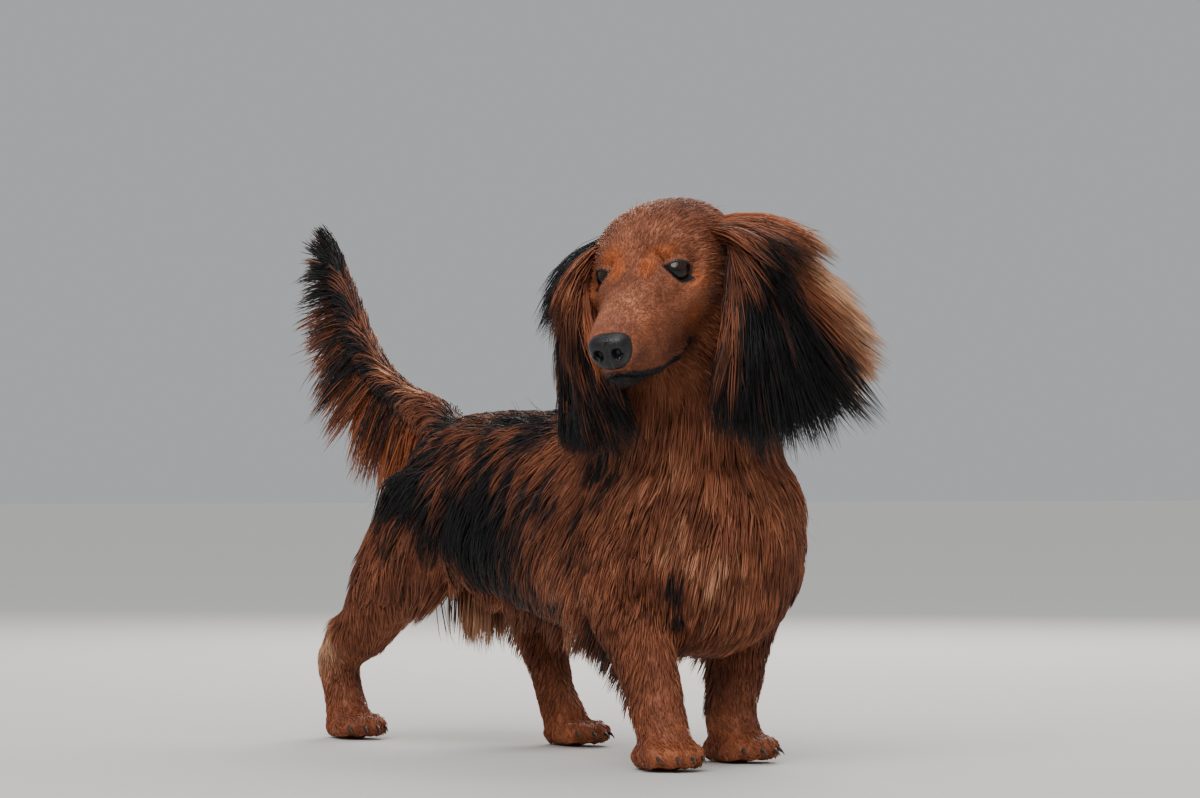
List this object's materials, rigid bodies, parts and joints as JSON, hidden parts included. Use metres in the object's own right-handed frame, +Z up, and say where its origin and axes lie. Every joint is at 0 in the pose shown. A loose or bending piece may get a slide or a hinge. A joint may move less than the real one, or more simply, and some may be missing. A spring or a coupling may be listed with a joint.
{
  "type": "long-haired dachshund",
  "caption": "Life-size still model of a standing long-haired dachshund, head turned to its right and tail raised.",
  "frame": {"origin": "on the floor, under the middle of the whole model's box", "axes": "the dog faces -Y, its left side is +X, +Z is up"},
  "size_m": [0.246, 0.692, 0.3872],
  "materials": {
    "red_coat": "long silky hair",
    "shaded_coat": "long silky hair, dark over red",
    "nose_leather": "moist pebbled leather",
    "eye": "wet gloss"
  },
  "bodies": {
    "root": {"head": "red_coat", "neck": "red_coat", "torso": "shaded_coat", "tail": "shaded_coat", "ear_left": "shaded_coat", "ear_right": "shaded_coat", "foreleg_left": "red_coat", "foreleg_right": "red_coat", "hindleg_left": "red_coat", "hindleg_right": "red_coat", "nose": "nose_leather", "eye_left": "eye", "eye_right": "eye"}
  },
  "joints": []
}
